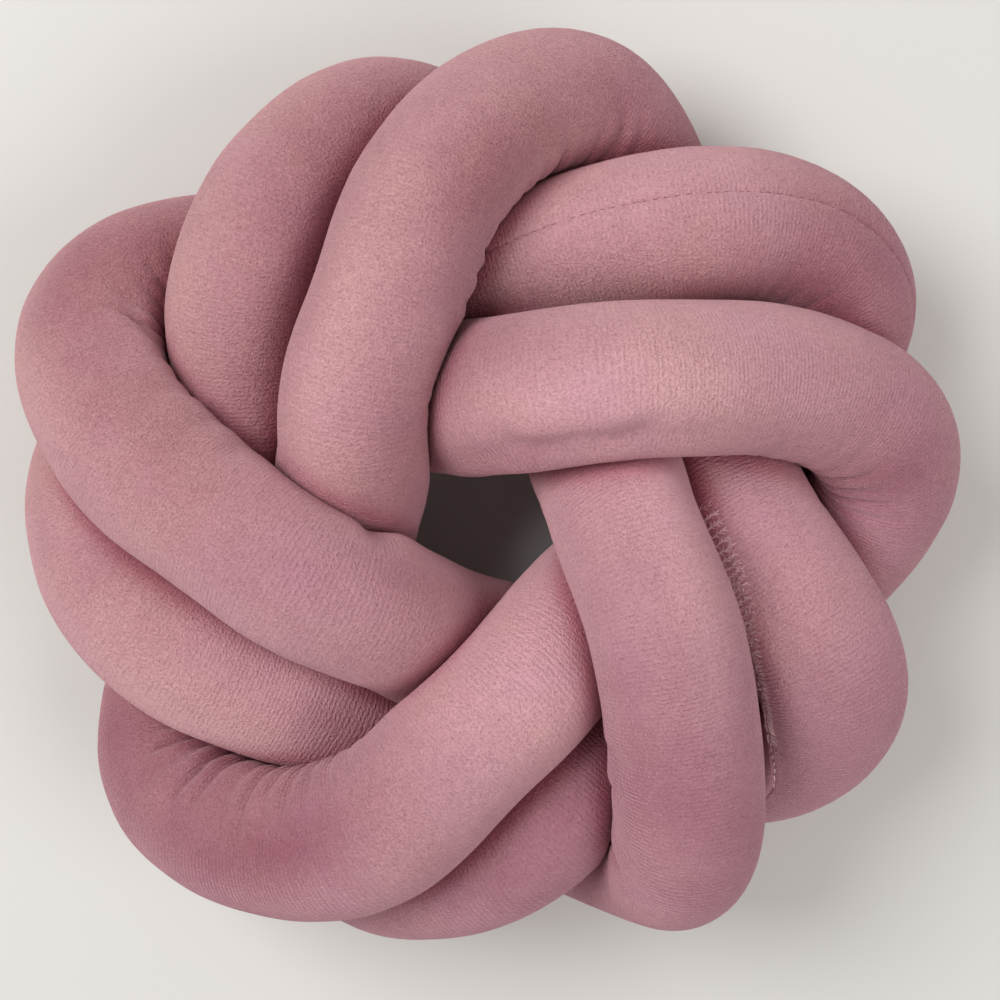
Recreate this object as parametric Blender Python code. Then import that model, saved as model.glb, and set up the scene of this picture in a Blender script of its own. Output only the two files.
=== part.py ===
"""Knot cushion: one long velvet tube, stuffed, joined end to end and wound into a ring knot.

Metres, +Z up. The cushion lies on its back on z = 0, with its box centred over the origin.
A bearing is in degrees, clockwise from +Y as seen from above.
"""

import bpy
import numpy as np

# Driving dimensions
TUBE = 0.055                 # diameter of the stuffed tube where nothing presses it
TURN_SPACING = 0.87 * TUBE   # between the middles of two turns that are pressed together
GAP = 0.0020                 # left between two turns that are pressed together
REST_HEIGHT = 0.41 * TUBE    # of the tube's middle above the surface it lies on
DEPTH = 0.72 * TUBE          # of the lowest middle below the middle of the ring
SWELL = 1.07                 # most that a pressed section grows elsewhere
SECTIONS = 300               # around the whole tube
SIDES = 16                   # of one section
TINY = 1e-9                  # in place of a direction that never meets anything
ROSE = (0.42, 0.19, 0.21, 1.0)

# Easing the tube into place
SAMPLES = 400                # points on its middle line
ROUNDS = 420
STIFFNESS = 0.30             # how strongly a bend is evened out, each round
TENSION = 0.03               # how strongly the tube shortens, each round
PRESSURE = 0.9               # share of an overlap that is undone, each round
HOLD = 0.14                  # how strongly a station draws the tube, each round
HOLD_SPREAD = 4              # points to each side over which that fades out
HOLD_SEARCH = 9              # points to each side among which a station finds the tube
OWN_REACH = 1.6 * TUBE       # along the tube, inside which it doesn't press on itself
FRONT_LOWEST = -0.012        # lowest middle of the tube where it shows on the front
HIDDEN_WEIGHT = 3.0          # how many times its depth a lower turn counts as further away

# The ten runs that show on the front, in the order in which the tube makes them. Each climbs
# outwards and turns over the rim. A station is (bearing, distance from the middle of the ring).
# An inner run's stations are at the hole, start, rise, shoulder, crown and rim, and an outer
# run's are the last five of these.
RUNS = {
    "inner_a": ((-97, 0.057), (-66, 0.053), (-33, 0.074), (-11, 0.115), (5, 0.147), (15, 0.152)),
    "outer_c": ((79, 0.085), (101, 0.105), (112, 0.132), (120, 0.152), (129, 0.155)),
    "inner_e": ((-168, 0.059), (-133, 0.055), (-106, 0.076), (-84, 0.125), (-70, 0.160), (-60, 0.161)),
    "outer_b": ((-7, 0.085), (18, 0.100), (39, 0.134), (50, 0.154), (61, 0.157)),
    "inner_d": ((130, 0.059), (154, 0.058), (181, 0.079), (200, 0.129), (218, 0.160), (229, 0.164)),
    "outer_a": ((-79, 0.095), (-57, 0.110), (-36, 0.134), (-24, 0.145), (-14, 0.145)),
    "inner_c": ((73, 0.047), (97, 0.050), (119, 0.067), (140, 0.108), (151, 0.145), (157, 0.149)),
    "outer_e": ((-142, 0.100), (-119, 0.121), (-107, 0.138), (-95, 0.149), (-85, 0.151)),
    "inner_b": ((-29, 0.043), (13, 0.041), (45, 0.063), (65, 0.108), (78, 0.145), (88, 0.152)),
    "outer_d": ((145, 0.102), (167, 0.116), (180, 0.133), (191, 0.144), (203, 0.147)),
}
# Height of each station, and the stretch under the ring that follows the rim, which doesn't
# show: (bearing on from the rim, distance from the middle of the ring, height).
HEIGHTS = {
    "inner": (0.015, 0.040, 0.052, 0.042, 0.018, 0.000),
    "outer": (0.005, 0.020, 0.022, 0.008, -0.010),
}
UNDER = {
    "inner": ((12, 0.138, -0.025), (24, 0.120, -0.030), (38, 0.104, -0.022)),
    "outer": ((12, 0.126, -0.035), (24, 0.100, -0.043), (38, 0.072, -0.034), (50, 0.060, -0.015)),
}


def placed(bearing, distance, height):
    angle = np.radians(bearing)
    return distance * np.sin(angle), distance * np.cos(angle), height


def first_route():
    """Rough middle line through the stations, and the plan positions that hold it."""
    points = []
    held = []
    for name, stations in RUNS.items():
        kind = name.split("_")[0]
        for (bearing, distance), height in zip(stations, HEIGHTS[kind]):
            held.append(placed(bearing, distance, 0.0)[:2])
            points.append(placed(bearing, distance, height))
        rim_bearing = stations[-1][0]
        for onward, distance, height in UNDER[kind]:
            points.append(placed(rim_bearing + onward, distance, height))
    return np.array(points), np.array(held)


def evenly(route, count):
    """Read a closed line at equal steps along it."""
    closed = np.vstack([route, route[:1]])
    travelled = np.r_[0.0, np.cumsum(np.linalg.norm(np.diff(closed, axis=0), axis=1))]
    wanted = np.linspace(0.0, travelled[-1], count, endpoint=False)
    return np.stack([np.interp(wanted, travelled, axis) for axis in closed.T], axis=1)


def smoothly(route, count):
    """Read a closed, evenly spaced line at another number of steps, through its harmonics."""
    return np.fft.irfft(np.fft.rfft(route, axis=0), count, axis=0) * count / len(route)


def sag(line):
    """How far each point is from the middle of its two neighbours."""
    return (np.roll(line, 1, axis=0) + np.roll(line, -1, axis=0)) / 2 - line


def push_apart(route, others):
    """Move turns that are too close until their middles are TURN_SPACING apart."""
    offset = route[:, None] - route[None]
    distance = np.sqrt((offset ** 2).sum(axis=2))
    first, second = np.nonzero(np.triu((distance < TURN_SPACING) & others))
    near = distance[first, second][:, None]
    shove = offset[first, second] * (TURN_SPACING - near) / near / 2
    total = np.zeros_like(route)
    pairs = np.zeros((len(route), 1))
    for side, sign in ((first, 1), (second, -1)):
        np.add.at(total, side, sign * shove)
        np.add.at(pairs, side, 1)
    return route + PRESSURE * total / np.maximum(pairs, 1)


def draw_to_stations(route, held, nearby):
    """Draw the tube sideways, in plan, to the stations on its front."""
    count = len(route)
    for place, start in zip(held, nearby):
        window = (start + np.arange(-HOLD_SEARCH, HOLD_SEARCH + 1)) % count
        nearest = window[((route[window, :2] - place) ** 2).sum(axis=1).argmin()]
        heading = route[(nearest + 1) % count, :2] - route[nearest - 1, :2]
        heading /= np.linalg.norm(heading)
        miss = place - route[nearest, :2]
        miss -= heading * (miss @ heading)
        for onward in range(1 - HOLD_SPREAD, HOLD_SPREAD):
            share = HOLD * (1 - abs(onward) / HOLD_SPREAD)
            route[(nearest + onward) % count, :2] += share * miss
    return route


def at_stations(route, held):
    """Index of the point of the route that passes over each held place, on the front."""
    hidden = HIDDEN_WEIGHT * np.minimum(route[:, 2] - FRONT_LOWEST, 0)
    return [(((route[:, :2] - place) ** 2).sum(axis=1) + hidden ** 2).argmin() for place in held]


def settled_route():
    """Middle line of the tube, eased until its turns lie pressed together."""
    points, held = first_route()
    route = evenly(points, SAMPLES)
    nearby = at_stations(route, held)
    index = np.arange(SAMPLES)
    along = np.abs(index[:, None] - index[None])
    along = np.minimum(along, SAMPLES - along)
    for _ in range(ROUNDS):
        step = np.linalg.norm(route - np.roll(route, 1, axis=0), axis=1).mean()
        others = along * step > OWN_REACH
        for _ in range(3):
            bend = sag(route)
            route = route + TENSION * bend - STIFFNESS * sag(bend)
        for _ in range(2):
            route = push_apart(route, others)
        route = draw_to_stations(route, held, nearby)
        route[:, 2] = np.maximum(route[:, 2], -DEPTH)
    route = evenly(route, SAMPLES)
    route[:, 2] += DEPTH + REST_HEIGHT
    return route


def reach_limit(centre, directions, others):
    """How far a section may reach before it meets a turn beside it, or the surface below."""
    between = others - centre
    closing = np.maximum(directions @ between.T + GAP, TINY)
    room = (between ** 2).sum(axis=1) - GAP ** 2
    reach = room / (2 * closing)
    down = np.maximum(-directions[:, 2], TINY)
    return np.minimum(reach.min(axis=1), centre[2] / down)


def evened(reach):
    """Round off the edges between pressed and free parts of the tube."""
    for axis in (0, 1):
        reach = (np.roll(reach, 1, axis) + 2 * reach + np.roll(reach, -1, axis)) / 4
    return reach


def pressed_vertices(route, vertices):
    """Flatten a round tube where it meets its own turns, and let it swell where it is free."""
    rings = vertices.reshape(len(route), -1, 3)
    step = np.linalg.norm(route - np.roll(route, 1, axis=0), axis=1).mean()
    own = int(OWN_REACH / step)
    spokes = rings - route[:, None]
    spokes /= np.linalg.norm(spokes, axis=2, keepdims=True)
    limit = np.empty(rings.shape[:2])
    for i, centre in enumerate(route):
        others = np.roll(route, own - i, axis=0)[2 * own + 1:]
        limit[i] = reach_limit(centre, spokes[i], others)
    reach = np.minimum(TUBE / 2, limit)
    for _ in range(3):
        fullness = (TUBE / 2) ** 2 / (reach ** 2).mean(axis=1)
        free = TUBE / 2 * np.minimum(np.sqrt(fullness), SWELL)
        reach = np.minimum(reach * np.sqrt(fullness)[:, None], free[:, None])
        reach = np.minimum(evened(reach), limit)
    return (route[:, None] + spokes * reach[..., None]).reshape(-1, 3)


def round_tube(route):
    """A plain round tube along the route, as a mesh."""
    curve = bpy.data.curves.new("tube_line", "CURVE")
    curve.dimensions = "3D"
    curve.bevel_depth = TUBE / 2
    curve.bevel_resolution = SIDES // 2 - 2
    curve.twist_mode = "MINIMUM"
    spline = curve.splines.new("POLY")
    spline.points.add(len(route) - 1)
    spline.points.foreach_set("co", np.hstack([route, np.ones((len(route), 1))]).ravel())
    spline.use_cyclic_u = True
    line = bpy.data.objects.new("tube_line", curve)
    bpy.context.scene.collection.objects.link(line)
    bpy.context.view_layer.update()
    mesh = bpy.data.meshes.new_from_object(line.evaluated_get(bpy.context.evaluated_depsgraph_get()))
    bpy.data.objects.remove(line)
    return mesh


def velvet():
    material = bpy.data.materials.new("rose_velvet")
    material.use_nodes = True
    shader = material.node_tree.nodes["Principled BSDF"]
    shader.inputs["Base Color"].default_value = ROSE
    shader.inputs["Roughness"].default_value = 0.9
    shader.inputs["Metallic"].default_value = 0.0
    shader.inputs["Sheen Weight"].default_value = 0.5
    return material


def stuffed_tube(collection):
    """The whole cushion: one filled tube, closed on itself."""
    route = smoothly(settled_route(), SECTIONS)
    mesh = round_tube(route)
    vertices = np.empty(3 * len(mesh.vertices))
    mesh.vertices.foreach_get("co", vertices)
    vertices = pressed_vertices(route, vertices)
    middle = (vertices.max(axis=0) + vertices.min(axis=0)) / 2
    vertices[:, :2] -= middle[:2]
    mesh.vertices.foreach_set("co", vertices.ravel())
    mesh.materials.clear()
    mesh.materials.append(velvet())
    mesh.shade_smooth()
    mesh.update()
    tube = bpy.data.objects.new("stuffed_tube", mesh)
    collection.objects.link(tube)
    return tube


for thing in list(bpy.data.objects):
    bpy.data.objects.remove(thing, do_unlink=True)
cushion = bpy.data.collections.new("knot_cushion")
bpy.context.scene.collection.children.link(cushion)
stuffed_tube(cushion)
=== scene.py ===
"""Looks of the knot cushion: one long tube of dusty rose velvet, stuffed and wound into a ring knot.

Metres, +Z up. The cushion lies on its back on z = 0. A bearing is in degrees, clockwise from +Y as
seen from above. The tube travels outwards and clockwise over each run on its front.
"""

import math

import bmesh
import bpy
import numpy as np
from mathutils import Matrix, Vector, noise


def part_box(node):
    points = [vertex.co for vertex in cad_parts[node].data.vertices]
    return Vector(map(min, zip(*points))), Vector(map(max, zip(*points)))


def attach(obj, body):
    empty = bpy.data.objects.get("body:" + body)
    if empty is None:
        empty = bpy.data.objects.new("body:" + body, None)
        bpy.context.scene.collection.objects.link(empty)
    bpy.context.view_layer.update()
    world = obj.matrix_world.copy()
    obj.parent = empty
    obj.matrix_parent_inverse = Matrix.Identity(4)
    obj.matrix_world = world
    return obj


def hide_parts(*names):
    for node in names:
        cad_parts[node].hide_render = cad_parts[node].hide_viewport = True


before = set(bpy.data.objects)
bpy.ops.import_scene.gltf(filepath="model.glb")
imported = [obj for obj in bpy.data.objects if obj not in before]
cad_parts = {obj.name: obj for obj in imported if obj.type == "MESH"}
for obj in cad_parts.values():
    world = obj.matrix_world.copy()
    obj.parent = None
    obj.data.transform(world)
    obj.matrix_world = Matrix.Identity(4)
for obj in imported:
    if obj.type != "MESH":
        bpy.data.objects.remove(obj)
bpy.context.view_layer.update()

# ---------------------------------------------------------------- the tube's route, as in the CAD
TUBE = 0.055                 # diameter of the stuffed tube where nothing presses it
TURN_SPACING = 0.87 * TUBE   # between the middles of two turns that are pressed together
REST_HEIGHT = 0.41 * TUBE    # of the tube's middle above the surface it lies on
DEPTH = 0.72 * TUBE          # of the lowest middle below the middle of the ring
SWELL = 1.07                 # most that a pressed section grows elsewhere
SAMPLES = 400                # points on its middle line while it is eased into place
ROUNDS = 420                 # of easing it
BENDINGS = 3                 # times in a round that its bends are evened out
PUSHES = 2                   # times in a round that its turns are pushed apart
STIFFNESS = 0.30             # how strongly a bend is evened out, each time
TENSION = 0.03               # how strongly the tube shortens, each time
PRESSURE = 0.9               # share of an overlap that is undone, each time
HOLD = 0.14                  # how strongly a station draws the tube, each round
HOLD_SPREAD = 4              # points to each side over which that fades out
HOLD_SEARCH = 9              # points to each side among which a station finds the tube
OWN_REACH = 1.6 * TUBE       # along the tube, inside which it doesn't press on itself
FRONT_LOWEST = -0.012        # lowest middle of the tube where it shows on the front
HIDDEN_WEIGHT = 3.0          # how many times its depth a lower turn counts as further away

# The ten runs that show on the front, in the order in which the tube makes them. Each climbs
# outwards and turns over the rim. A station is (bearing, distance from the middle of the ring).
# An inner run's stations are at the hole, start, rise, shoulder, crown and rim, and an outer
# run's are the last five of these.
RUNS = {
    "inner_a": ((-97, 0.057), (-66, 0.053), (-33, 0.074), (-11, 0.115), (5, 0.147), (15, 0.152)),
    "outer_c": ((79, 0.085), (101, 0.105), (112, 0.132), (120, 0.152), (129, 0.155)),
    "inner_e": ((-168, 0.059), (-133, 0.055), (-106, 0.076), (-84, 0.125), (-70, 0.160), (-60, 0.161)),
    "outer_b": ((-7, 0.085), (18, 0.100), (39, 0.134), (50, 0.154), (61, 0.157)),
    "inner_d": ((130, 0.059), (154, 0.058), (181, 0.079), (200, 0.129), (218, 0.160), (229, 0.164)),
    "outer_a": ((-79, 0.095), (-57, 0.110), (-36, 0.134), (-24, 0.145), (-14, 0.145)),
    "inner_c": ((73, 0.047), (97, 0.050), (119, 0.067), (140, 0.108), (151, 0.145), (157, 0.149)),
    "outer_e": ((-142, 0.100), (-119, 0.121), (-107, 0.138), (-95, 0.149), (-85, 0.151)),
    "inner_b": ((-29, 0.043), (13, 0.041), (45, 0.063), (65, 0.108), (78, 0.145), (88, 0.152)),
    "outer_d": ((145, 0.102), (167, 0.116), (180, 0.133), (191, 0.144), (203, 0.147)),
}
# Height of each station, and the stretch under the ring that follows the rim, which doesn't
# show: (bearing on from the rim, distance from the middle of the ring, height).
HEIGHTS = {
    "inner": (0.015, 0.040, 0.052, 0.042, 0.018, 0.000),
    "outer": (0.005, 0.020, 0.022, 0.008, -0.010),
}
UNDER = {
    "inner": ((12, 0.138, -0.025), (24, 0.120, -0.030), (38, 0.104, -0.022)),
    "outer": ((12, 0.126, -0.035), (24, 0.100, -0.043), (38, 0.072, -0.034), (50, 0.060, -0.015)),
}


def placed(bearing, distance, height):
    angle = math.radians(bearing)
    return distance * math.sin(angle), distance * math.cos(angle), height


def first_route():
    """Rough middle line through the stations, and the plan positions that hold it."""
    points = []
    held = []
    for name, stations in RUNS.items():
        kind = name.split("_")[0]
        for (bearing, distance), height in zip(stations, HEIGHTS[kind]):
            held.append(placed(bearing, distance, 0.0)[:2])
            points.append(placed(bearing, distance, height))
        rim_bearing = stations[-1][0]
        for onward, distance, height in UNDER[kind]:
            points.append(placed(rim_bearing + onward, distance, height))
    return np.array(points), np.array(held)


def evenly(route, count):
    """Read a closed line at equal steps along it."""
    closed = np.vstack([route, route[:1]])
    travelled = np.r_[0.0, np.cumsum(np.linalg.norm(np.diff(closed, axis=0), axis=1))]
    wanted = np.linspace(0.0, travelled[-1], count, endpoint=False)
    return np.stack([np.interp(wanted, travelled, axis) for axis in closed.T], axis=1)


def smoothly(line, count):
    """Read a closed, evenly spaced line at another number of steps, through its harmonics."""
    return np.fft.irfft(np.fft.rfft(line, axis=0), count, axis=0) * count / len(line)


def sag(line):
    """How far each point is from the middle of its two neighbours."""
    return (np.roll(line, 1, axis=0) + np.roll(line, -1, axis=0)) / 2 - line


def push_apart(route, others):
    """Move turns that are too close until their middles are TURN_SPACING apart."""
    offset = route[:, None] - route[None]
    distance = np.sqrt((offset ** 2).sum(axis=2))
    first, second = np.nonzero(np.triu((distance < TURN_SPACING) & others))
    near = distance[first, second][:, None]
    shove = offset[first, second] * (TURN_SPACING - near) / near / 2
    total = np.zeros_like(route)
    pairs = np.zeros((len(route), 1))
    for side, sign in ((first, 1), (second, -1)):
        np.add.at(total, side, sign * shove)
        np.add.at(pairs, side, 1)
    return route + PRESSURE * total / np.maximum(pairs, 1)


def draw_to_stations(route, held, nearby):
    """Draw the tube sideways, in plan, to the stations on its front."""
    count = len(route)
    for place, start in zip(held, nearby):
        window = (start + np.arange(-HOLD_SEARCH, HOLD_SEARCH + 1)) % count
        nearest = window[((route[window, :2] - place) ** 2).sum(axis=1).argmin()]
        heading = route[(nearest + 1) % count, :2] - route[nearest - 1, :2]
        heading /= np.linalg.norm(heading)
        miss = place - route[nearest, :2]
        miss -= heading * (miss @ heading)
        for onward in range(1 - HOLD_SPREAD, HOLD_SPREAD):
            share = HOLD * (1 - abs(onward) / HOLD_SPREAD)
            route[(nearest + onward) % count, :2] += share * miss
    return route


def at_stations(route, held):
    """Index of the point of the route that passes over each held place, on the front."""
    hidden = HIDDEN_WEIGHT * np.minimum(route[:, 2] - FRONT_LOWEST, 0)
    return [(((route[:, :2] - place) ** 2).sum(axis=1) + hidden ** 2).argmin() for place in held]


def settled_route():
    """Middle line of the tube, eased until its turns lie pressed together."""
    points, held = first_route()
    route = evenly(points, SAMPLES)
    nearby = at_stations(route, held)
    index = np.arange(SAMPLES)
    along = np.abs(index[:, None] - index[None])
    along = np.minimum(along, SAMPLES - along)
    for _ in range(ROUNDS):
        step = np.linalg.norm(route - np.roll(route, 1, axis=0), axis=1).mean()
        others = along * step > OWN_REACH
        for _ in range(BENDINGS):
            bend = sag(route)
            route = route + TENSION * bend - STIFFNESS * sag(bend)
        for _ in range(PUSHES):
            route = push_apart(route, others)
        route = draw_to_stations(route, held, nearby)
        route[:, 2] = np.maximum(route[:, 2], -DEPTH)
    route = evenly(route, SAMPLES)
    route[:, 2] += DEPTH + REST_HEIGHT
    return route


# ---------------------------------------------------------------- the stuffed tube
SECTIONS = 1440              # around the whole tube
SECTIONS_ANYWHERE = 0.55     # how closely they are cut, compared with each other,
SECTIONS_ON_FRONT = 0.6      # more on the front
SECTIONS_IN_BENDS = 2.2      # and more again in its bends
SECTIONS_EVENED = 24         # to each side, over which that changes
FRONT_HEIGHTS = (0.04, 0.07)      # heights between which the tube comes to the front
BEND_HEIGHTS = (0.035, 0.055)     # and between which its bends start to show
BEND_TIGHTNESS = (0.30, 0.45)     # tightness of the cloth between which they count as bends
PLAIN_COLUMNS = 57           # corners of a section, evenly, apart from those beside the seam
SEAM_COLUMNS = (             # distances from the seam of the corners beside it
    -0.0036, -0.0022, -0.0013, -0.0007, -0.0003, 0.0, 0.0003, 0.0007, 0.0013, 0.0022, 0.0036)
TOUCH = 0.0004               # left between two turns that are pressed together
BULGE = 0.0020               # most that a turn swells towards the one beside it
BULGE_ROOM = 3 * BULGE       # between two turns, inside which they swell
FREE_ROOM = 0.004            # to the turn beside it, at which cloth hangs free
CREASE_ROOM = 0.004          # to the turn beside it, inside which the pile is crushed and painted shade darkens it
NEIGHBOURS = 2 * TUBE        # how far away a turn can press on another
FAR = 1.0                    # reach of a spoke that meets nothing
TINY = 1e-9                  # in place of a direction that never meets anything
FILLING_ROUNDS = 3           # of sharing out the stuffing in each section
EDGE_ROUNDS = 6              # of rounding off the pressed parts, after each of these
BEND_ROUNDS = 20             # of evening out how sharply the tube bends
SEAM_EVENED = 14             # sections to each side, over which the seam's place is evened
PILE_AND_LIGHT_EVENED = 14             # and over which the lie of the pile, with its painted light, is

# Uneven filling and uneven pile, as soft lumps: (strength, size, seed).
LUMPS = ((0.0009, 0.060, 1.0), (0.0004, 0.022, 4.0))
MOTTLES = ((0.25, 0.050, 11.0), (0.15, 0.020, 12.0))

# The seam: a narrow groove in a wide shallow one, (depth, half its width) each, deeper at each
# stitch by this share.
SEAM_GROOVES = ((0.0007, 0.0006), (0.0004, 0.0030))
STITCH_PITCH = 0.0034
STITCH_PINCH = 0.3

# Where the seam lies: (run, station, degrees from the top of the tube towards its outer side).
SEAM = (
    ("inner_a", 2, 175), ("outer_c", 0, -44), ("outer_c", 1, -40), ("outer_c", 2, -68),
    ("outer_c", 3, -60), ("outer_c", 4, 6), ("inner_e", 2, -170),
    ("outer_b", 1, 20), ("outer_b", 3, 28), ("inner_d", 2, 165), ("outer_a", 2, 170),
    ("inner_c", 2, 170), ("outer_e", 2, 175), ("inner_b", 2, 175), ("outer_d", 2, 175),
)

# Where the stuffing swells into a gap: (run, station, share of the way to the next one, degrees
# from the top towards the outer side, length, width, height, degrees from along to across).
FILLS = (
    ("outer_c", 2, 0.80, -72, 0.062, 0.022, 0.0140, 0),
    ("outer_c", 2, 0.60, 78, 0.060, 0.018, 0.0030, 0),
    ("inner_d", 3, 0.40, -84, 0.054, 0.017, 0.0075, 0),
    ("outer_e", 0, 0.40, 66, 0.054, 0.014, 0.0040, 0),
    ("inner_c", 0, 0.90, 80, 0.036, 0.020, -0.0040, 0),
    ("inner_e", 3, 0.20, -80, 0.048, 0.016, 0.0050, 0),
    ("outer_b", 1, 0.80, -80, 0.060, 0.014, 0.0040, 0),
    ("outer_a", 0, 0.60, 75, 0.048, 0.014, 0.0030, 0),
)

# Gathers on the inside of the bends: how deep they are on each run's turn over the rim.
GATHERS = {
    "inner_a": 0.5, "inner_b": 0.8, "inner_c": 0.4, "inner_d": 1.3, "inner_e": 0.8,
    "outer_a": 0.3, "outer_b": 0.4, "outer_c": 0.5, "outer_d": 0.3, "outer_e": 0.3,
}
GATHERS_ELSEWHERE = 0.4      # how deep they are on the rest of the tube
GATHERS_LENGTH = SECTIONS // 14   # of a turn over the rim, in sections from the run's shoulder
GATHERS_EVENED = 20          # sections to each side, over which one depth changes to the next
GATHER_PITCH = 0.0115
GATHER_DEPTH = 0.0026
GATHER_WANDER = 1.3          # how far a gather strays from an even pitch
GATHER_CURL = 0.8            # how much each one curves
GATHER_EDGE = 1.1            # how sharp its valley is
GATHER_START = 0.08          # tightness of the cloth at which the shallowest ones start
GATHER_SOONER = 0.12         # how much sooner deep ones do
GATHER_SCATTER = 0.24        # how unevenly they start
GATHER_FULL = 0.32           # more tightness, at which they are at their full depth
GATHER_STRENGTH = 0.75       # of the usual gather,
GATHER_VARIETY = 0.9         # how much that varies
GATHER_FAINTEST = 0.15       # and the least it comes to

# Single folds and dents, in the columns of FILLS, with a depth in place of the height. Each has
# a lip along one side.
FOLD_TAPER = 1.5             # how quickly a fold runs out at its ends
LIP_WIDTH = 1.6              # compared with the fold's
LIP_OFFSET = 1.2             # from the fold, in widths of the lip
LIP_HEIGHT = 0.45            # share of the fold's depth
FOLDS = (
    ("inner_a", 4, 0.92, -12, 0.016, 0.0028, 0.0018, -64),
    ("inner_a", 4, 1.15, 2, 0.015, 0.0026, 0.0015, -52),
    ("inner_a", 3, 0.87, -73, 0.012, 0.0028, 0.0022, 61),
    ("inner_a", 2, 0.77, -86, 0.012, 0.0026, 0.0015, 90),
    ("inner_a", 2, 0.59, -84, 0.012, 0.0026, 0.0013, 84),
    ("inner_a", 2, 0.36, -85, 0.012, 0.0030, 0.0012, 92),
    ("inner_b", 1, 0.70, -44, 0.036, 0.0040, 0.0024, 0),
    ("inner_b", 1, 0.22, -33, 0.014, 0.0040, 0.0018, -55),
    ("inner_b", 2, 0.05, -38, 0.012, 0.0040, 0.0016, 40),
    ("inner_b", 1, 0.30, -70, 0.060, 0.0060, -0.0014, 0),
    ("inner_e", 3, 0.18, -60, 0.012, 0.0050, 0.0016, 90),
    ("inner_e", 2, 0.81, -68, 0.012, 0.0045, 0.0018, 90),
    ("inner_e", 2, 0.54, -70, 0.012, 0.0050, 0.0018, 90),
    ("inner_e", 3, 0.95, -60, 0.024, 0.0050, 0.0022, 33),
    ("inner_e", 1, 0.40, -84, 0.012, 0.0060, 0.0030, 90),
    ("inner_c", 2, 0.95, -72, 0.010, 0.0030, 0.0018, 90),
    ("inner_c", 3, 0.29, -80, 0.010, 0.0030, 0.0020, 90),
    ("inner_c", 3, 0.90, -72, 0.014, 0.0035, 0.0024, 70),
    ("inner_d", 1, 0.30, 2, 0.016, 0.0060, 0.0010, 60),
    ("inner_d", 4, 0.75, -22, 0.020, 0.0036, 0.0018, 92),
    ("inner_d", 4, 0.98, -14, 0.022, 0.0034, 0.0016, 95),
    ("inner_d", 4, 1.20, -6, 0.024, 0.0038, 0.0018, 92),
    ("inner_d", 4, 1.42, 8, 0.020, 0.0034, 0.0014, 95),
)

# How light the pile looks at each station: about -1 where it is brushed back and dark, and about 1 where
# it is smooth and light. Part of that is painted light: the first stations of inner_d and outer_e are
# made lighter where other turns shade the tube.
PILE_AND_LIGHT = {
    "inner_a": (-0.2, -0.3, -0.2, 0.0, 0.1, -0.6), "outer_a": (-0.6, -0.1, -0.1, -0.5, -0.6),
    "inner_b": (-0.7, -0.7, 0.8, 0.3, -0.3, 0.0), "outer_b": (0.2, 0.8, 0.5, -0.6, -0.7),
    "inner_c": (1.0, 1.0, 0.1, -0.4, -0.6, -0.5), "outer_c": (0.9, 0.4, -0.1, -0.2, -0.2),
    "inner_d": (1.0, 1.4, 0.8, -0.2, -0.8, -0.8), "outer_d": (-0.4, -0.5, -0.3, -0.3, -0.4),
    "inner_e": (0.0, 0.0, 0.1, 0.0, -0.1, -0.9), "outer_e": (0.9, 0.3, -0.1, 0.2, 0.1),
}

# Where the pile is brushed the other way, in the columns of FILLS, with a strength in place of the
# height. Below 0 it is lighter instead: smoothed pile, and in the rows at 50 and 55 degrees a painted
# highlight.
BRUSHED_AND_LIT = (
    ("inner_d", 1, 0.22, 4, 0.010, 0.014, 0.5, 0),
    ("inner_d", 3, 0.20, -20, 0.036, 0.014, 0.6, 5),
    ("inner_e", 1, 0.10, -42, 0.016, 0.010, 0.5, 20),
    ("inner_e", 3, 0.60, -20, 0.045, 0.020, 0.5, 10),
    ("outer_e", 0, 0.14, -2, 0.014, 0.010, 0.9, 30),
    ("outer_b", 2, 0.60, -45, 0.035, 0.012, 0.7, 0),
    ("outer_b", 1, 0.50, -15, 0.050, 0.014, 0.4, 0),
    ("outer_a", 1, 0.40, -45, 0.050, 0.013, 0.7, 0),
    ("inner_a", 3, 0.30, -30, 0.045, 0.016, 0.7, 0),
    ("inner_b", 4, 0.20, -20, 0.025, 0.014, 0.5, 30),
    ("outer_d", 0, 0.40, 10, 0.018, 0.012, 0.6, 30),
    ("inner_b", 1, 0.45, -8, 0.042, 0.012, -0.9, 5),
    # Painted highlight: the outer sides of outer_a, inner_e and outer_e are made lighter, standing for
    # the sheen along their edges
    ("outer_a", 1, 0.90, 55, 0.090, 0.014, -0.6, 0),
    ("inner_e", 4, 0.00, 55, 0.060, 0.014, -0.7, 0),
    ("outer_e", 2, 0.50, 50, 0.060, 0.014, -0.6, 0),
    ("inner_c", 1, 0.60, 25, 0.050, 0.010, -0.6, 0),
    ("inner_a", 1, 0.60, 26, 0.060, 0.018, -0.9, 0),
    ("outer_c", 1, 0.50, -40, 0.030, 0.006, -0.8, 0),
)


def unit(vectors):
    return vectors / np.linalg.norm(vectors, axis=-1, keepdims=True)


def smoothstep(low, high, value):
    share = np.clip((value - low) / (high - low), 0.0, 1.0)
    return share * share * (3 - 2 * share)


def untwisted_frame(route):
    """Heading and two crosswise directions at each section, with no more twist than closes them."""
    heading = unit(np.roll(route, -1, axis=0) - np.roll(route, 1, axis=0))
    across = np.empty_like(route)
    carried = unit(np.cross(heading[0], (0.0, 0.0, 1.0)))
    for i, forward in enumerate(heading):
        carried = unit(carried - forward * (carried @ forward))
        across[i] = carried
    last = unit(across[-1] - heading[0] * (across[-1] @ heading[0]))
    miss = math.atan2(np.cross(last, across[0]) @ heading[0], last @ across[0])
    turn = (miss * np.arange(len(route)) / len(route))[:, None]
    other = np.cross(heading, across)
    across = np.cos(turn) * across + np.sin(turn) * other
    return heading, across, np.cross(heading, across)


def up_and_out(heading, i):
    """The top of the tube at section i, and its outer side."""
    top = np.array((0.0, 0.0, 1.0))
    top = unit(top - heading[i] * (top @ heading[i]))
    return top, np.cross(top, heading[i])


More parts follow.
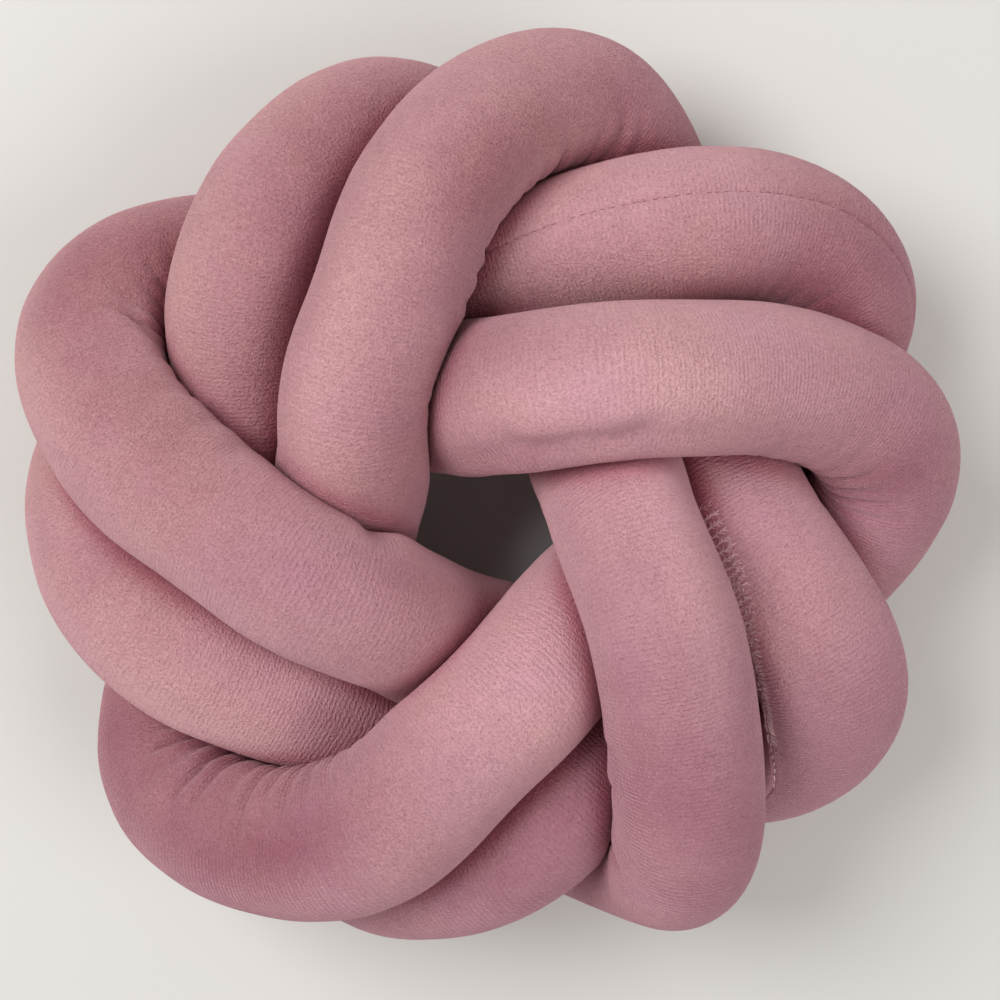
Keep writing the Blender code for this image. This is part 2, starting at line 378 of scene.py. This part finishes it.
def angle_at(degrees, i, heading, across, other):
    """The angle in the untwisted frame of a place so many degrees from the top of the tube."""
    top, out = up_and_out(heading, i)
    turned = math.cos(math.radians(degrees)) * top + math.sin(math.radians(degrees)) * out
    return math.atan2(turned @ other[i], turned @ across[i])


def station_sections(route):
    """Section that each station falls on: {run: [section, ...]}."""
    held = first_route()[1]
    found = iter(at_stations(route - (0, 0, DEPTH + REST_HEIGHT), held))
    return {name: [next(found) for _ in stations] for name, stations in RUNS.items()}


def seam_direction(route, stations, heading, across, other):
    """Direction of the seam from the middle line at each section, in the untwisted frame."""
    count = len(route)
    rows = sorted((stations[run][k], degrees) for run, k, degrees in SEAM)
    places = [i for i, _ in rows]
    angles = np.unwrap([angle_at(degrees, i, heading, across, other) for i, degrees in rows])
    closing = angles[0] + 2 * math.pi * round((angles[-1] - angles[0]) / (2 * math.pi))
    spread = np.interp(np.arange(count), places + [places[0] + count], list(angles) + [closing])
    before = np.arange(count) < places[0]
    share = (np.arange(count) + count - places[-1]) / (places[0] + count - places[-1])
    spread[before] = (angles[-1] + (closing - angles[-1]) * share - (closing - angles[0]))[before]
    return np.stack([spread_out(wave(spread), SEAM_EVENED) for wave in (np.cos, np.sin)], axis=1)


def section_columns():
    """Angles from the seam of a section's corners: close together beside the seam."""
    seam = np.array(SEAM_COLUMNS) / (TUBE / 2)
    plain = np.linspace(seam[-1], seam[0] + 2 * math.pi, PLAIN_COLUMNS + 2)[1:-1]
    return np.r_[seam[seam >= 0], plain, seam[seam < 0] + 2 * math.pi]


def reach_limit(centre, directions, others):
    """How far a section may reach before it meets a turn beside it, or the surface below."""
    between = others - centre
    between = between[(between ** 2).sum(axis=1) < NEIGHBOURS ** 2]
    closing = np.maximum(directions @ between.T + TOUCH, TINY)
    room = (between ** 2).sum(axis=1) - TOUCH ** 2
    reach = room / (2 * closing)
    down = np.maximum(-directions[:, 2], TINY)
    return np.minimum(reach.min(axis=1, initial=FAR), centre[2] / down)


def evened(reach, times):
    """Round off the edges between pressed and free parts of the tube."""
    for _ in range(times):
        for axis in (0, 1):
            reach = (np.roll(reach, 1, axis) + 2 * reach + np.roll(reach, -1, axis)) / 4
    return reach


def pressed_reach(route, spokes, swell):
    """Distance from the middle line to the cloth, and the furthest that it may be."""
    step = np.linalg.norm(route - np.roll(route, 1, axis=0), axis=1).mean()
    own = int(OWN_REACH / step)
    limit = np.empty(spokes.shape[:2])
    for i, centre in enumerate(route):
        limit[i] = reach_limit(centre, spokes[i], np.roll(route, own - i, axis=0)[2 * own + 1:])
    closing = 1 - smoothstep(TUBE / 2, TUBE / 2 + BULGE_ROOM, limit)
    reach = np.minimum(TUBE / 2 + BULGE * closing + swell, limit)
    for _ in range(FILLING_ROUNDS):
        fullness = (TUBE / 2) ** 2 / (reach ** 2).mean(axis=1)
        free = TUBE / 2 * np.minimum(np.sqrt(fullness), SWELL)
        reach = np.minimum(reach * np.sqrt(fullness)[:, None], free[:, None] + swell)
        reach = np.minimum(evened(reach, EDGE_ROUNDS), limit)
    return reach, limit


def unevenness(points, size, seed):
    """Soft noise from -1 to 1 over the cloth, its lumps about size across."""
    shift = Vector((seed, 2.3 * seed, -1.7 * seed))
    return np.array([noise.noise(Vector(p) / size + shift) for p in points.reshape(-1, 3)]
                    ).reshape(points.shape[:2])


def ripple(turn, waves, seed):
    """Noise from -1 to 1 along the closed tube, with about so many waves."""
    size = waves / (2 * math.pi)
    return np.array([noise.noise(Vector((size * math.cos(t), size * math.sin(t), seed))) for t in turn])


def tightness(route, spokes):
    """How much the cloth is gathered (above 0) or drawn out (below 0) by the tube's bends."""
    step = np.linalg.norm(route - np.roll(route, 1, axis=0), axis=1).mean()
    bend = 2 * sag(route) / step ** 2
    for _ in range(BEND_ROUNDS):
        bend = (np.roll(bend, 1, axis=0) + 2 * bend + np.roll(bend, -1, axis=0)) / 4
    return (spokes * bend[:, None]).sum(axis=2) * TUBE / 2


def read_between(values, places):
    """Read a closed row of values at places between its own."""
    low = np.floor(places).astype(int)
    share = (places - low).reshape(-1, *[1] * (values.ndim - 1))
    return values[low % len(values)] * (1 - share) + values[(low + 1) % len(values)] * share


def spread_out(wave, reach):
    """Even out a closed wave over so many sections to each side."""
    kernel = np.hanning(2 * reach + 1)
    return np.convolve(np.r_[wave[-reach:], wave, wave[:reach]], kernel / kernel.sum(), "valid")


def crowded_places(route, tight):
    """Places of the sections to cut: close together in the bends on the front, sparse below."""
    height = route[:, 2]
    front = smoothstep(*FRONT_HEIGHTS, height)
    bends = smoothstep(*BEND_TIGHTNESS, tight.max(axis=1)) * smoothstep(*BEND_HEIGHTS, height)
    closeness = SECTIONS_ANYWHERE + SECTIONS_ON_FRONT * front + SECTIONS_IN_BENDS * bends
    travelled = np.r_[0.0, np.cumsum(spread_out(closeness, SECTIONS_EVENED))]
    wanted = np.linspace(0.0, travelled[-1], SECTIONS, endpoint=False)
    return np.interp(wanted, travelled, np.arange(SECTIONS + 1))


def pile_lie_and_light(stations):
    """How light the pile looks at each section: its lie, and painted light, from the table."""
    rows = sorted((i, light) for run in RUNS for i, light in zip(stations[run], PILE_AND_LIGHT[run]))
    sections, lights = zip(*rows)
    return spread_out(np.interp(np.arange(SECTIONS), sections, lights, period=SECTIONS), PILE_AND_LIGHT_EVENED)


def gathers(along, length, places, points, tight, stations):
    """Depth of the pleats that fan out from the inside of each bend."""
    deep = np.full(SECTIONS, GATHERS_ELSEWHERE)
    for run, depth in GATHERS.items():
        shoulder = stations[run][-3]
        deep[(shoulder + np.arange(GATHERS_LENGTH)) % SECTIONS] = depth
    deep = read_between(spread_out(deep, GATHERS_EVENED), places)[:, None]
    pleats = round(length / GATHER_PITCH)
    turn = 2 * math.pi * along / length
    phase = pleats * turn / 2 + GATHER_WANDER * ripple(turn, waves=pleats / 3, seed=5.0)
    phase = phase[:, None] + GATHER_CURL * unevenness(points, size=0.016, seed=9.0)
    valley = (1 - np.abs(np.sin(phase))) ** GATHER_EDGE
    scatter = GATHER_SCATTER * ripple(turn, waves=pleats * 0.8, seed=2.0)[:, None]
    start = GATHER_START - GATHER_SOONER * deep + scatter
    taken = smoothstep(start, start + GATHER_FULL, tight)
    strength = GATHER_STRENGTH + GATHER_VARIETY * ripple(turn, waves=pleats * 0.7, seed=7.0)
    strength = np.maximum(strength, GATHER_FAINTEST)[:, None]
    return GATHER_DEPTH * deep * valley * taken * strength


def around_spot(spots, stations, frame_lines, places, angles, step):
    """Distances of the cloth from each spot of a table, along and across, as shares of the spot's
    length and width, and the spot's strength."""
    for run, k, share, degrees, length, width, strength, turn in spots:
        first, second = stations[run][k], stations[run][k + 1]
        i = int(round(first + share * ((second - first) % SECTIONS))) % SECTIONS
        aim = angle_at(degrees, i, *frame_lines)
        ahead = ((places - i + SECTIONS / 2) % SECTIONS - SECTIONS / 2)[:, None] * step
        aside = -((angles - aim + math.pi) % (2 * math.pi) - math.pi) * TUBE / 2
        cosine = math.cos(math.radians(turn))
        sine = math.sin(math.radians(turn))
        yield (ahead * cosine + aside * sine) / length, (aside * cosine - ahead * sine) / width, strength


def tube_mesh(route, columns):
    """A plain round tube along the route, one corner for each column of a section."""
    curve = bpy.data.curves.new("tube_line", "CURVE")
    curve.dimensions = "3D"
    curve.bevel_depth = TUBE / 2
    curve.bevel_resolution = columns // 2 - 2
    spline = curve.splines.new("POLY")
    spline.points.add(len(route) - 1)
    spline.points.foreach_set("co", np.hstack([route, np.ones((len(route), 1))]).ravel())
    spline.use_cyclic_u = True
    line = bpy.data.objects.new("tube_line", curve)
    bpy.context.scene.collection.objects.link(line)
    bpy.context.view_layer.update()
    mesh = bpy.data.meshes.new_from_object(line.evaluated_get(bpy.context.evaluated_depsgraph_get()))
    bpy.data.objects.remove(line)
    return mesh


def lay_weave(mesh, columns, along, length):
    """UV map in metres: across from the seam, and along the tube."""
    sides = len(columns)
    corner = np.empty(len(mesh.loops), np.int64)
    mesh.loops.foreach_get("vertex_index", corner)
    ring, side = (corner // sides).reshape(-1, 4), (corner % sides).reshape(-1, 4)
    closes = (ring.max(axis=1) - ring.min(axis=1) > 1)[:, None] & (ring == 0)
    ahead = np.where(closes, length, along[ring])
    wraps = (side.max(axis=1) - side.min(axis=1) > 1)[:, None] & (side == 0)
    across = np.where(wraps, 2 * math.pi, columns[side]) * TUBE / 2
    layer = mesh.uv_layers[0]
    layer.name = "weave"
    layer.data.foreach_set("uv", np.stack([across.ravel(), ahead.ravel()], axis=1).ravel())


def lumps(points, sorts):
    """Soft lumps of several sorts together: (strength, size, seed) each."""
    return sum(strength * unevenness(points, size, seed) for strength, size, seed in sorts)


def stuffed_tube():
    """The whole cushion. Returns the piece, how far along the tube its sections are, the seam's
    places with its outward and forward directions there, the sections at the stations of outer_c,
    and how far the tube was shifted into its box."""
    route = smoothly(settled_route(), SECTIONS)
    length = np.linalg.norm(route - np.roll(route, 1, axis=0), axis=1).sum()
    step = length / SECTIONS
    stations = station_sections(route)
    frame_lines = untwisted_frame(route)
    seam = seam_direction(route, stations, *frame_lines)
    columns = section_columns()

    def spokes_at(angles, across, other):
        return np.cos(angles)[..., None] * across[:, None] + np.sin(angles)[..., None] * other[:, None]

    angles = np.arctan2(seam[:, 1], seam[:, 0])[:, None] + columns[None]
    spokes = spokes_at(angles, *frame_lines[1:])
    swell = np.zeros_like(angles)
    for ahead, aside, height in around_spot(
            FILLS, stations, frame_lines, np.arange(SECTIONS), angles, step):
        swell = swell + height * np.exp(-ahead ** 2 - aside ** 2)
    reach, limit = pressed_reach(route, spokes, swell)
    tight = tightness(route, spokes)

    places = crowded_places(route, tight)
    along = places * step
    heading, across, other = [unit(read_between(line, places)) for line in frame_lines]
    seam = read_between(seam, places)
    angles = np.arctan2(seam[:, 1], seam[:, 0])[:, None] + columns[None]
    spokes = spokes_at(angles, across, other)
    middle, reach, limit, tight = [read_between(line, places) for line in (route, reach, limit, tight)]
    points = middle[:, None] + spokes * reach[..., None]

    free = smoothstep(0.0, FREE_ROOM, limit - reach)
    reach = reach + free * lumps(points, LUMPS)
    reach = reach - gathers(along, length, places, points, tight, stations)
    for ahead, aside, depth in around_spot(FOLDS, stations, frame_lines, places, angles, step):
        trough = np.exp(-FOLD_TAPER * ahead ** 2 - aside ** 2)
        lip = np.exp(-FOLD_TAPER * ahead ** 2 - (aside / LIP_WIDTH - LIP_OFFSET) ** 2)
        reach = reach - depth * (trough - LIP_HEIGHT * lip * free)
    from_seam = np.minimum(columns, 2 * math.pi - columns) * TUBE / 2
    groove = sum(depth * np.exp(-(from_seam / wide) ** 2) for depth, wide in SEAM_GROOVES)
    pinch = 1 + STITCH_PINCH * np.cos(2 * math.pi * along / STITCH_PITCH)[:, None]
    reach = reach - groove[None] * pinch
    reach = np.minimum(reach, limit)
    points = middle[:, None] + spokes * reach[..., None]

    # The lie of the pile, with painted light where the tube is shaded, soft mottles, and the brushed
    # spots, some of which are painted highlight
    nap_and_light = read_between(pile_lie_and_light(stations), places)[:, None] + lumps(points, MOTTLES)
    for ahead, aside, strength in around_spot(BRUSHED_AND_LIT, stations, frame_lines, places, angles, step):
        nap_and_light = nap_and_light - strength * np.exp(-ahead ** 2 - aside ** 2)
    # crease: how near the turn beside it is; it darkens the colour as painted shade and crushed pile
    crease = np.exp(-(np.maximum(limit - reach, 0) / CREASE_ROOM) ** 2)

    low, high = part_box("stuffed_tube")
    centre = (points.reshape(-1, 3).max(axis=0) + points.reshape(-1, 3).min(axis=0)) / 2
    shift = np.array([(low.x + high.x) / 2 - centre[0], (low.y + high.y) / 2 - centre[1], 0.0])
    points = points + shift
    mesh = tube_mesh(middle, len(columns))
    mesh.vertices.foreach_set("co", points.ravel())
    lay_weave(mesh, columns, along, length)
    for name, values in (("nap_and_light", nap_and_light), ("crease", crease)):
        mesh.attributes.new(name, "FLOAT", "POINT").data.foreach_set("value", values.ravel())
    mesh.materials.clear()
    mesh.materials.append(rose_velvet())
    mesh.shade_smooth()
    mesh.update()
    tube = bpy.data.objects.new("velvet_tube", mesh)
    bpy.context.scene.collection.objects.link(tube)
    closed_at = [int(np.searchsorted(places, section)) for section in stations["outer_c"]]
    return tube, along, (points[:, 0], spokes[:, 0], heading), closed_at, shift


# ---------------------------------------------------------------- thread and long pile
MACHINE_STITCH = (0.0021, 0.00050)    # length and thickness
CLOSING_STITCH = (0.0030, 0.00055)
CLOSING_SECTIONS = 3                  # from one closing stitch to the next
CLOSING_SLANT = 0.9                   # how far they go across the seam for each step along it
STITCH_SUNK = 0.00005                 # of a machine stitch into the seam
STITCH_PROUD = 0.00010                # of a closing stitch above it
HAIR = (0.0024, 0.00018)
HAIR_PROUD = 0.0010                   # from the cloth to a hair's middle
HAIR_PITCH = 0.00060                  # from one row of hairs to the next, along the seam
HAIR_SPACING = 0.0012                 # and across from the seam, in a row
HAIR_FIRST = 0.0003                   # from the seam to a row's first hair
ROW_HAIRS = (2, 6)                    # in the shortest row, and how many more in the longest
ROW_SHORTEST = 0.2                    # share of the longest row, at the end of the stretch
ROW_SHRINKS = (0.60, 0.30)            # shares of the stretch at which it is shortest and longest
ROW_CHANGE = 0.83                     # how much the hairs differ from row to row
HAIR_CHANGE = 1.9                     # and from one to the next in a row
HAIR_SEEDS = (1, 5, 8)
HAIR_WAYS = ((0.12, 0.4), (0.8, 1.0), (0.2, 2.0))   # outwards, aside, ahead: usual and variety
FACING_OUT = 0.6                      # least that the cloth at a root must face the seam's way


def sew(name, spots, material):
    """One piece of many stitches or hairs: (middle, forward, outward, (length, thickness)) each."""
    pattern = bmesh.new()
    bmesh.ops.create_uvsphere(pattern, u_segments=6, v_segments=4, radius=0.5)
    corners = np.array([tuple(v.co) for v in pattern.verts])
    faces = [[v.index for v in face.verts] for face in pattern.faces]
    pattern.free()
    points = []
    sides = []
    for middle, forward, outward, (length, thickness) in spots:
        turned = np.stack([np.cross(forward, outward) * thickness, outward * thickness, forward * length])
        sides += [[i + len(points) * len(corners) for i in face] for face in faces]
        points.append(middle + corners @ turned)
    mesh = bpy.data.meshes.new(name)
    mesh.from_pydata(np.concatenate(points).tolist(), [], sides)
    mesh.materials.append(material)
    mesh.shade_smooth()
    piece = bpy.data.objects.new(name, mesh)
    bpy.context.scene.collection.objects.link(piece)
    return piece


def machine_stitches(along, line, outward, heading):
    """Dashes of thread down in the seam, all round the tube."""
    length = along[-1] + along[1]
    for k in range(int(length / STITCH_PITCH)):
        i = np.searchsorted(along, (k + 0.5) * STITCH_PITCH) % len(along)
        yield line[i] - STITCH_SUNK * outward[i], heading[i], outward[i], MACHINE_STITCH


def closing_stitches(run_start, run_end, line, outward, heading):
    """Slanted hand stitches that close the seam, from one section to another."""
    for i in range(run_start, run_end, CLOSING_SECTIONS):
        slant = unit(heading[i] + CLOSING_SLANT * np.cross(outward[i], heading[i]))
        yield line[i] + STITCH_PROUD * outward[i], slant, outward[i], CLOSING_STITCH


def ruffled_pile(tube, along, run_start, run_end, line, outward, heading):
    """Long hairs of pile, rooted in the tube and brushed away from the seam, in rows that grow
    shorter towards the end of the stretch."""
    bpy.context.view_layer.update()
    stretch = along[run_end] - along[run_start]
    fewest, more = ROW_HAIRS
    for row in range(int(stretch / HAIR_PITCH)):
        i = np.searchsorted(along, along[run_start] + row * HAIR_PITCH)
        away = np.cross(outward[i], heading[i])
        wide = smoothstep(*ROW_SHRINKS, row * HAIR_PITCH / stretch)
        wide = ROW_SHORTEST + (1 - ROW_SHORTEST) * wide
        for k in range(int(fewest + more * wide)):
            spot = (ROW_CHANGE * row, HAIR_CHANGE * k)
            chances = [noise.noise(Vector((*spot, seed))) for seed in HAIR_SEEDS]
            bend = (HAIR_FIRST + HAIR_SPACING * (k + abs(chances[1]))) / (TUBE / 2)
            up = math.cos(bend) * outward[i] + math.sin(bend) * away
            _, root, up_there, _ = tube.closest_point_on_mesh(line[i] + TUBE / 2 * (up - outward[i]))
            root = np.array(root)
            up_there = np.array(up_there)
            if up @ up_there < FACING_OUT:
                continue
            lean, drift, ahead = [usual + variety * chance
                                  for (usual, variety), chance in zip(HAIR_WAYS, chances)]
            aside = np.cross(up_there, heading[i])
            hair = unit(lean * up_there + drift * aside + ahead * heading[i])
            yield root + HAIR_PROUD * hair, hair, unit(np.cross(hair, heading[i])), HAIR


# ---------------------------------------------------------------- materials
DARK_ROSE = (0.345, 0.135, 0.168, 1)     # pile brushed back
ROSE = (0.525, 0.280, 0.304, 1)
LIGHT_ROSE = (0.685, 0.395, 0.412, 1)    # pile lying smooth, and painted light
WARM = (1.05, 1.01, 0.95, 1)             # tint of the upper left of the cushion
COOL = (1.01, 0.91, 1.04, 1)             # and of the lower right
CRUSHED_AND_SHADED = (0.76, 0.47, 0.54, 1)          # tint of painted shade and crushed pile where two turns meet
SPECKS = (0.21, 0.28, 0.255)             # how strongly the grain shows in each colour
FLUFF_SPECKS = 0.20                      # how much coarser specks add to fine ones
FLUFF_RELIEF = 0.5                       # and coarser relief to fine relief
PATCHES = 0.5                            # how much the lie of the pile varies in small patches
CLOUDS = 0.9                             # how much the warm and cool sides run into each other
SHEEN = (1.0, 0.60, 0.66, 1)
WHITE = (1, 1, 1, 1)
DARK_THREAD = (0.17, 0.055, 0.070, 1)
LIGHT_THREAD = (0.34, 0.150, 0.160, 1)
PALE_PILE = (1.0, 0.74, 0.77, 1)
PALE_SHEEN = (1.0, 0.82, 0.84, 1)
PALE_FLOOR = (0.75, 0.735, 0.705, 1)


def new_material(name):
    material = bpy.data.materials.new(name)
    material.use_nodes = True
    tree = material.node_tree
    return material, tree, tree.nodes["Principled BSDF"]


def node(tree, kind, links=(), **settings):
    """Add a node, set its fields and sockets, and link its inputs."""
    made = tree.nodes.new(kind)
    for name, value in settings.items():
        setattr(made, name, value)
    for socket, source in links:
        if hasattr(source, "is_linked"):
            tree.links.new(source, made.inputs[socket])
        else:
            made.inputs[socket].default_value = source
    return made


def rose_velvet():
    """Short-pile velvet with a speckled grain, faint ribs round the tube, pile brushed both ways, painted
    light in places, and painted shade where two turns meet.
    """
    material, tree, shader = new_material("rose_velvet")
    place = node(tree, "ShaderNodeTexCoord").outputs["Object"]
    weave = node(tree, "ShaderNodeUVMap", uv_map="weave").outputs["UV"]
    nap_and_light = node(tree, "ShaderNodeAttribute", attribute_name="nap_and_light").outputs["Fac"]
    crease = node(tree, "ShaderNodeAttribute", attribute_name="crease").outputs["Fac"]

    grain = node(tree, "ShaderNodeTexNoise", [("Vector", place), ("Scale", 1250.0), ("Detail", 2.0),
                                               ("Roughness", 0.6)]).outputs["Fac"]
    fluff = node(tree, "ShaderNodeTexNoise", [("Vector", place), ("Scale", 330.0), ("Detail", 2.0),
                                              ("Roughness", 0.6)]).outputs["Fac"]
    patch = node(tree, "ShaderNodeTexNoise", [("Vector", place), ("Scale", 75.0), ("Detail", 3.0),
                                              ("Roughness", 0.6)]).outputs["Fac"]
    ribs = node(tree, "ShaderNodeTexWave", [("Vector", weave), ("Scale", 215.0), ("Distortion", 3.0),
                                            ("Detail", 2.0), ("Detail Scale", 2.5)],
                bands_direction="Y").outputs["Fac"]

    # The lie of the pile picks the colour from dark to light rose; its light end also carries painted
    # light and painted highlight
    brushed = node(tree, "ShaderNodeMath", [(0, patch), (1, PATCHES), (2, nap_and_light)],
                   operation="MULTIPLY_ADD").outputs[0]
    brushed = node(tree, "ShaderNodeMapRange", [("Value", brushed), ("From Min", -0.80),
                                                ("From Max", 1.30)]).outputs["Result"]
    colour = node(tree, "ShaderNodeValToRGB", [("Fac", brushed)])
    ramp = colour.color_ramp.elements
    ramp[0].color = DARK_ROSE
    ramp[1].color = LIGHT_ROSE
    ramp.new(0.5).color = ROSE

    side = node(tree, "ShaderNodeSeparateXYZ", [("Vector", place)])
    diagonal = node(tree, "ShaderNodeMath", [(0, side.outputs["X"]), (1, side.outputs["Y"])],
                    operation="SUBTRACT").outputs[0]
    cloud = node(tree, "ShaderNodeTexNoise", [("Vector", place), ("Scale", 22.0)]).outputs["Fac"]
    diagonal = node(tree, "ShaderNodeMath", [(0, cloud), (1, CLOUDS), (2, diagonal)],
                    operation="MULTIPLY_ADD").outputs[0]
    mauve = node(tree, "ShaderNodeMapRange", [("Value", diagonal), ("From Min", 0.15), ("From Max", 0.75)]
                 ).outputs["Result"]
    tint = node(tree, "ShaderNodeMix", [("Factor", mauve)], data_type="RGBA")
    warm, cool = [socket for socket in tint.inputs if socket.type == "RGBA"]
    warm.default_value = WARM
    cool.default_value = COOL
    tinted = node(tree, "ShaderNodeVectorMath", [(0, colour.outputs["Color"]), (1, tint.outputs[2])],
                  operation="MULTIPLY").outputs[0]
    # Painted shade where two turns meet, standing also for crushed pile: the colour is darkened towards
    # purple
    crushed_and_shaded = node(tree, "ShaderNodeMix", [("Factor", crease)], data_type="RGBA")
    open_pile, pressed_shaded_pile = [socket for socket in crushed_and_shaded.inputs if socket.type == "RGBA"]
    open_pile.default_value = WHITE
    pressed_shaded_pile.default_value = CRUSHED_AND_SHADED
    tinted = node(tree, "ShaderNodeVectorMath", [(0, tinted), (1, crushed_and_shaded.outputs[2])],
                  operation="MULTIPLY").outputs[0]

    speck = node(tree, "ShaderNodeMath", [(0, fluff), (1, FLUFF_SPECKS), (2, grain)],
                 operation="MULTIPLY_ADD").outputs[0]
    speck = node(tree, "ShaderNodeMapRange", [("Value", speck), ("From Min", 0.40), ("From Max", 0.80),
                                              ("To Min", -1.0)]).outputs["Result"]
    grainy = node(tree, "ShaderNodeMapRange", [("Value", mauve), ("To Min", 1.0), ("To Max", 0.5)]
                  ).outputs["Result"]
    speck = node(tree, "ShaderNodeMath", [(0, speck), (1, grainy)], operation="MULTIPLY").outputs[0]
    speck = node(tree, "ShaderNodeVectorMath", [(0, speck), (1, SPECKS), (2, WHITE[:3])],
                 operation="MULTIPLY_ADD").outputs[0]
    rib_shade = node(tree, "ShaderNodeMapRange", [("Value", ribs), ("To Min", 0.97), ("To Max", 1.03)]
                     ).outputs["Result"]
    speckled = node(tree, "ShaderNodeVectorMath", [(0, tinted), (1, speck)],
                    operation="MULTIPLY").outputs[0]
    final = node(tree, "ShaderNodeVectorMath", [("Vector", speckled), ("Scale", rib_shade)],
                 operation="SCALE")
    tree.links.new(final.outputs[0], shader.inputs["Base Color"])

    height = node(tree, "ShaderNodeMath", [(0, fluff), (1, FLUFF_RELIEF), (2, grain)],
                  operation="MULTIPLY_ADD").outputs[0]
    ridged = node(tree, "ShaderNodeMapRange", [("Value", mauve), ("To Min", 0.08), ("To Max", 0.28)]
                  ).outputs["Result"]
    height = node(tree, "ShaderNodeMath", [(0, ribs), (1, ridged), (2, height)],
                  operation="MULTIPLY_ADD").outputs[0]
    bump = node(tree, "ShaderNodeBump", [("Height", height), ("Strength", 0.9), ("Distance", 0.0014)])
    tree.links.new(bump.outputs[0], shader.inputs["Normal"])
    shader.inputs["Roughness"].default_value = 0.92
    shader.inputs["Specular IOR Level"].default_value = 0.12
    shader.inputs["Sheen Weight"].default_value = 0.90
    shader.inputs["Sheen Roughness"].default_value = 0.30
    shader.inputs["Sheen Tint"].default_value = SHEEN
    return material


def mauve_thread():
    material, tree, shader = new_material("mauve_thread")
    place = node(tree, "ShaderNodeTexCoord").outputs["Object"]
    twist = node(tree, "ShaderNodeTexNoise", [("Vector", place), ("Scale", 900.0)]).outputs["Fac"]
    colour = node(tree, "ShaderNodeValToRGB", [("Fac", twist)])
    colour.color_ramp.elements[0].color = DARK_THREAD
    colour.color_ramp.elements[1].color = LIGHT_THREAD
    tree.links.new(colour.outputs["Color"], shader.inputs["Base Color"])
    shader.inputs["Roughness"].default_value = 0.7
    return material


def pale_pile():
    material, _, shader = new_material("pale_pile")
    shader.inputs["Base Color"].default_value = PALE_PILE
    shader.inputs["Roughness"].default_value = 0.9
    shader.inputs["Specular IOR Level"].default_value = 0.12
    shader.inputs["Sheen Weight"].default_value = 1.0
    shader.inputs["Sheen Tint"].default_value = PALE_SHEEN
    return material


def pale_floor():
    material, _, shader = new_material("pale_floor")
    shader.inputs["Base Color"].default_value = PALE_FLOOR
    shader.inputs["Roughness"].default_value = 0.95
    shader.inputs["Specular IOR Level"].default_value = 0.1
    return material


# ---------------------------------------------------------------- floor, light and camera
LAMPS = (                                # name, place, diameter, power
    ("window_light", (-0.95, 0.55, 1.45), 1.1, 20.5),
    ("fill_light", (1.05, -0.5, 1.35), 1.3, 9.5),
)
LIT_PLACE = (0, 0, 0.05)
ROOM_COLOUR = (1.0, 0.985, 0.97, 1)
ROOM_STRENGTH = 0.42
FLOOR_SIZE = 6.0
LENS_ANGLE = math.radians(29.487)
CAMERA_DISTANCE = 0.731
CAMERA_TILT = math.radians(4.0)
AIM = (0.0035, -0.0012, 0.0)             # from the middle of the ring


def studio(ring_middle):
    """Plain floor, soft daylight from the upper left, and the camera above the cushion."""
    bpy.ops.mesh.primitive_plane_add(size=FLOOR_SIZE)
    floor = bpy.context.object
    floor.name = "floor"
    floor.data.materials.append(pale_floor())

    scene = bpy.context.scene
    world = bpy.data.worlds.new("soft_room")
    world.use_nodes = True
    world.node_tree.nodes["Background"].inputs["Color"].default_value = ROOM_COLOUR
    world.node_tree.nodes["Background"].inputs["Strength"].default_value = ROOM_STRENGTH
    scene.world = world
    for name, place, size, power in LAMPS:
        light = bpy.data.lights.new(name, "AREA")
        light.shape = "DISK"
        light.size = size
        light.energy = power
        lamp = bpy.data.objects.new(name, light)
        lamp.location = place
        lamp.rotation_euler = (Vector(LIT_PLACE) - lamp.location).to_track_quat("-Z", "Y").to_euler()
        scene.collection.objects.link(lamp)

    target = Vector(ring_middle) + Vector(AIM)
    lens = bpy.data.cameras.new("camera")
    lens.angle = LENS_ANGLE
    lens.clip_start = 0.05
    camera = bpy.data.objects.new("camera", lens)
    above = Vector((0.0, math.sin(CAMERA_TILT), math.cos(CAMERA_TILT)))
    camera.location = target + CAMERA_DISTANCE * above
    camera.rotation_euler = (-CAMERA_TILT, 0.0, 0.0)
    scene.collection.objects.link(camera)
    scene.camera = camera
    scene.view_settings.view_transform = "Standard"


tube, along, seam, closed_at, ring_shift = stuffed_tube()
start, rise, _, crown, rim = closed_at
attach(tube, "root")
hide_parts("stuffed_tube")
long_pile = pale_pile()
for piece in (
        sew("seam_thread", machine_stitches(along, *seam), mauve_thread()),
        sew("closing_thread", closing_stitches(crown, rim, *seam), long_pile),
        sew("ruffled_pile", ruffled_pile(tube, along, (start + rise) // 2, crown, *seam), long_pile)):
    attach(piece, "root")
studio((ring_shift[0], ring_shift[1], DEPTH + REST_HEIGHT))
